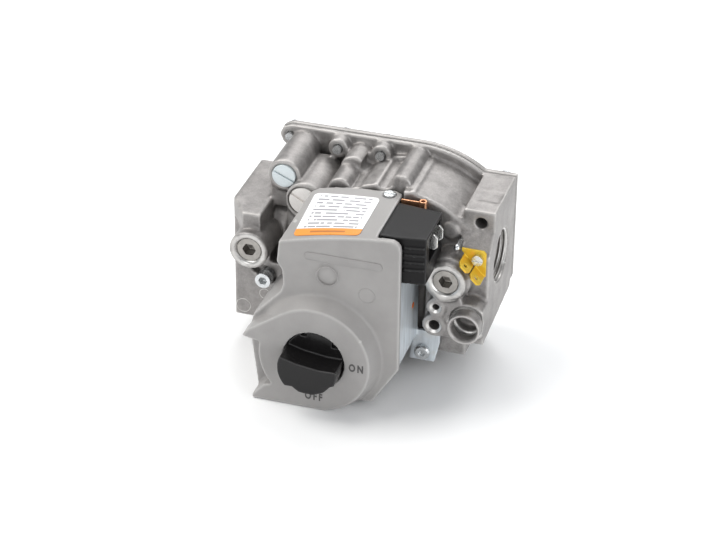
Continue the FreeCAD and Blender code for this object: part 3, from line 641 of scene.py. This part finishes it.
def valve_body():
    """The casting, with its port faces and boss faces cut bright."""
    shave, overlap = 0.35, 1.0
    faces, chamfers = [], []
    for x, way in ((right_face, 1), (0.0, -1)):
        start = (x - way * (PORT_CUT_DEPTH - 0.4), 0, 0)
        faces.append((start, (way, 0, 0), PORT_CUT_R, PORT_CUT_R, PORT_CUT_DEPTH))
    taps = ((middle("inlet_tap_plug"), TAP_FACE_R), (middle("outlet_tap_plug"), OUTLET_TAP_FACE_R))
    for centre, r in taps:
        faces.append(((centre.x, TAP_FRONT + shave, centre.z), (0, -1, 0), r, r, 3.0))
        mouth = (centre.x, TAP_FRONT, centre.z)
        chamfers.append((mouth, (0, 1, 0), TAP_MOUTH_R + 0.25, TAP_MOUTH_R - 1.2, 1.5))
    pilot = at_mount("pilot_outlet")
    chamfers.append(((pilot.x, pilot.y - overlap, pilot.z), (0, 1, 0), 8.1, 5.3, 2.8))
    for x, z, r in (VENT_HOLE, TEST_HOLE):
        chamfers.append(((x, BOSS_FRONT - overlap, z), (0, 1, 0), r + 1.9, r, 1.9))
    cutters = [cutter_cylinders("face_cutter", faces, machined),
               cutter_cylinders("chamfer_cutter", chamfers, chamfer_shine)]
    return softened("valve_body", "valve_body_casting", 0.62, 4, cutters)


def label_with_round_corners():
    """The film label, with its four corners rounded."""
    low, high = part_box("cover_label")
    corner, steps = 2.0 * MM, 8
    outline = []
    for x, y, start in ((high.x - corner, high.y - corner, 0), (low.x + corner, high.y - corner, 90),
                        (low.x + corner, low.y + corner, 180), (high.x - corner, low.y + corner, 270)):
        for k in range(steps + 1):
            angle = math.radians(start + 90 * k / steps)
            outline.append((x + corner * math.cos(angle), y + corner * math.sin(angle)))
    shape = bmesh.new()
    ends = [[shape.verts.new((x, y, z)) for x, y in outline] for z in (low.z - MM, high.z + MM)]
    shape.faces.new(ends[0][::-1])
    shape.faces.new(ends[1])
    for k in range(len(outline)):
        j = (k + 1) % len(outline)
        shape.faces.new((ends[0][k], ends[0][j], ends[1][j], ends[1][k]))
    trim = link("label_trim", finished("label_trim", shape))
    film = nodes["cover_label"].data.copy()
    film.materials.clear()
    piece = add_object("cover_label_film", film, slot_material["label_film"], "housing")
    cut = piece.modifiers.new("trim", "BOOLEAN")
    cut.operation, cut.object, cut.solver = "INTERSECT", trim, "EXACT"
    apply_modifiers(piece)
    bpy.data.objects.remove(trim)
    sharp_by_angle(piece, 30)
    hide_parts("cover_label")


def front_of(piece, x, z, back):
    """The y, in millimetres, at which a ray from the front first meets a piece at (x, z)."""
    hit, place = piece.ray_cast(V(x, -200, z), Vector((0, 1, 0)))[:2]
    return place.y / MM if hit else back


def word(name, text, x, z, cap_height, y):
    """A generic printed word that faces the front."""
    cap_share, squeeze = 0.69, 0.72         # cap height over font size, and how narrow the letters are
    curve = bpy.data.curves.new(name, "FONT")
    curve.body = text
    curve.size = cap_height / cap_share * MM
    curve.space_character = 1.45
    curve.align_x, curve.align_y = "CENTER", "CENTER"
    curve.offset = 0.17 * MM
    curve.extrude = 0.10 * MM
    curve.resolution_u = 4
    holder = link(name + "_curve", curve)
    mesh = evaluated_mesh(holder)
    bpy.data.objects.remove(holder)
    narrow = Matrix.Diagonal((squeeze, 1.0, 1.0, 1.0))
    mesh.transform(Matrix.Translation(V(x, y, z)) @ Matrix.Rotation(math.radians(90), 4, "X") @ narrow)
    mesh.materials.clear()
    add_object(name, mesh, ink, "housing")
    for polygon in mesh.polygons:
        polygon.use_smooth = False


def raised_bar(name, x0, x1, z0, z1, y, height, material, body, place=None):
    """A low bar with round ends and a bevelled rim on a face that looks to the front, then moved by place."""
    radius, sunk = (z1 - z0) / 2, 0.4
    outline = []
    for x, start in ((x1 - radius, -90), (x0 + radius, 90)):
        for k in range(13):
            angle = math.radians(start + 15 * k)
            outline.append((x + radius * math.cos(angle), (z0 + z1) / 2 + radius * math.sin(angle),
                            math.cos(angle), math.sin(angle)))
    shape = bmesh.new()
    rings = [[shape.verts.new(V(x - inset * dx, y - lift, z - inset * dz)) for x, z, dx, dz in outline]
             for lift, inset in ((-sunk, 0.0), (height * 0.6, 0.05), (height, height))]
    for lower, upper in zip(rings, rings[1:]):
        for k in range(len(outline)):
            j = (k + 1) % len(outline)
            shape.faces.new((lower[k], lower[j], upper[j], upper[k]))
    shape.faces.new(rings[-1])
    shape.faces.new(rings[0][::-1])
    bmesh.ops.recalc_face_normals(shape, faces=shape.faces)
    mesh = finished(name, shape)
    if place is not None:
        mesh.transform(place)
    sharp_by_angle(add_object(name, mesh, material, body), 40)


body = valve_body()
rounded = {node: softened(node, name, voxel_mm, passes) for node, name, voxel_mm, passes in ROUNDED}
cover, knob = rounded["front_cover"], rounded["control_knob"]
knob.data.materials[0] = knob_gloss
label_with_round_corners()

for side, x, axis in (("outlet", right_face - THREAD_START, (1, 0, 0)), ("inlet", THREAD_START, (-1, 0, 0))):
    thread(side + "_port_thread", (x, 0, 0), axis, THREAD_MAJOR_R, THREAD_DEPTH, THREAD_PITCH, THREAD_LENGTH,
           machined, "housing")

# Marks on the plastic cover and beside the knob.
for name, text, (x, z), (face_x, face_z) in WORDS:
    word(name, text, x, z, LETTER_HEIGHT, front_of(cover, face_x, face_z, COLLAR_FRONT))
for k, (x, z, r) in enumerate(COVER_RINGS):
    points = circle_points(x, front_of(cover, x, z, COVER_FRONT) + 0.06, z, r)
    wire_loop("cover_ring_mark_%d" % (k + 1), points, 0.22, cover_grey, "housing")
raised_bar("cover_blank_bar", BAR_LEFT, BAR_RIGHT, BAR_LOW, BAR_TOP, front_of(cover, 56.0, 13.8, COVER_FRONT),
           0.45, cover_grey, "housing")

# Grey pads seen through the two notches of the knob's skirt.
knob_joint = next(joint for joint in behaviour["joints"] if joint["name"] == "knob_turn")
knob_middle = Vector(knob_joint["pos_m"]) / MM
for k, (dx, dz) in enumerate(KNOB_NOTCHES):
    x, z = knob_middle.x + dx, knob_middle.z + dz
    raised_bar("knob_notch_pad_%d" % (k + 1), x - 1.0, x + 1.0, z - 0.7, z + 0.7,
               front_of(knob, x, z, NOTCH_FRONT), 0.12, cover_grey, "knob")

# Casting marks left by ejector pins.
plate_y = front_of(body, 3.4, -37.0, CASTING_FRONT)
for k, (x, z, r) in enumerate(EJECTOR_PINS):
    points = circle_points(x, plate_y + 0.05, z, r, wobble=0.03, seed=5 + k)
    wire_loop("ejector_ring_%d" % (k + 1), points, 0.13, machined, "housing")

# A touch of orange paint on the side of the solenoid frame.
spot = rounded["solenoid_frame"].ray_cast(V(200, *PAINT_SPOT), Vector((-1, 0, 0)))[1]
raised_bar("frame_paint_mark", -1.4, 1.4, -1.2, 1.2, 0.0, 0.10, paint_spot, "housing",
           Matrix.Translation(spot) @ Matrix.Rotation(math.radians(90), 4, "Z"))

make_camera()
make_lights()
make_floor()
